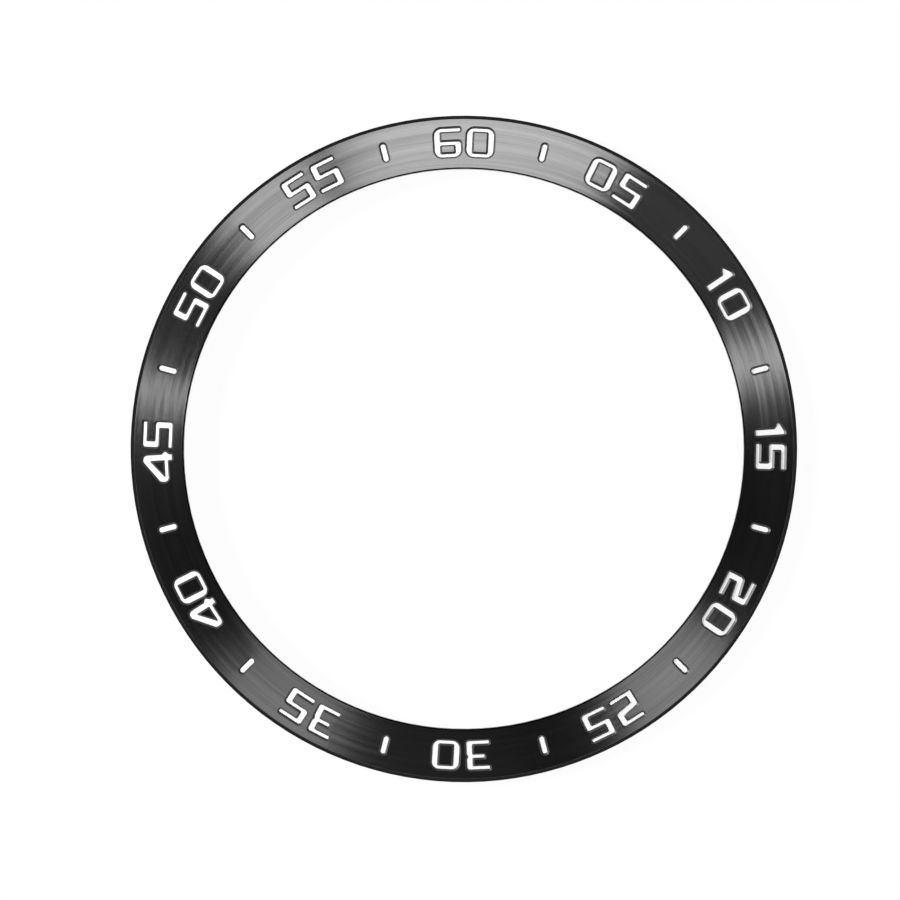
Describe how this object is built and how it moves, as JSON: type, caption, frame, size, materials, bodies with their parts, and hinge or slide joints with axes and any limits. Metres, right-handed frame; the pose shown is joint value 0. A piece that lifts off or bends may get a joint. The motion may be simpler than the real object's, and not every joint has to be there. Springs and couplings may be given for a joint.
{
  "type": "smartwatch bezel ring",
  "caption": "Flat round stick-on bezel ring for a smartwatch: black brushed metal with an engraved, white-painted minute scale, a locating skirt and a tape ring underneath.",
  "frame": {"origin": "centre of the plane that the skirt's rim stands on, on the ring's axis", "axes": "+Z out of the face along the ring's axis, +Y towards the sixty mark, +X towards the fifteen mark"},
  "size_m": [0.046, 0.046, 0.0021],
  "materials": {
    "black_brushed_steel": "black coated, brushed in circles round the axis",
    "scale_paint": "white enamel, satin",
    "foam_tape": "thin black foam tape with a tacky underside"
  },
  "bodies": {
    "root": {"bezel_ring": "black_brushed_steel", "adhesive_tape": "foam_tape", "numeral_60": "scale_paint", "numeral_05": "scale_paint", "numeral_10": "scale_paint", "numeral_15": "scale_paint", "numeral_20": "scale_paint", "numeral_25": "scale_paint", "numeral_30": "scale_paint", "numeral_35": "scale_paint", "numeral_40": "scale_paint", "numeral_45": "scale_paint", "numeral_50": "scale_paint", "numeral_55": "scale_paint", "tick_015_degrees": "scale_paint", "tick_045_degrees": "scale_paint", "tick_075_degrees": "scale_paint", "tick_105_degrees": "scale_paint", "tick_135_degrees": "scale_paint", "tick_165_degrees": "scale_paint", "tick_195_degrees": "scale_paint", "tick_225_degrees": "scale_paint", "tick_255_degrees": "scale_paint", "tick_285_degrees": "scale_paint", "tick_315_degrees": "scale_paint", "tick_345_degrees": "scale_paint"}
  },
  "joints": []
}
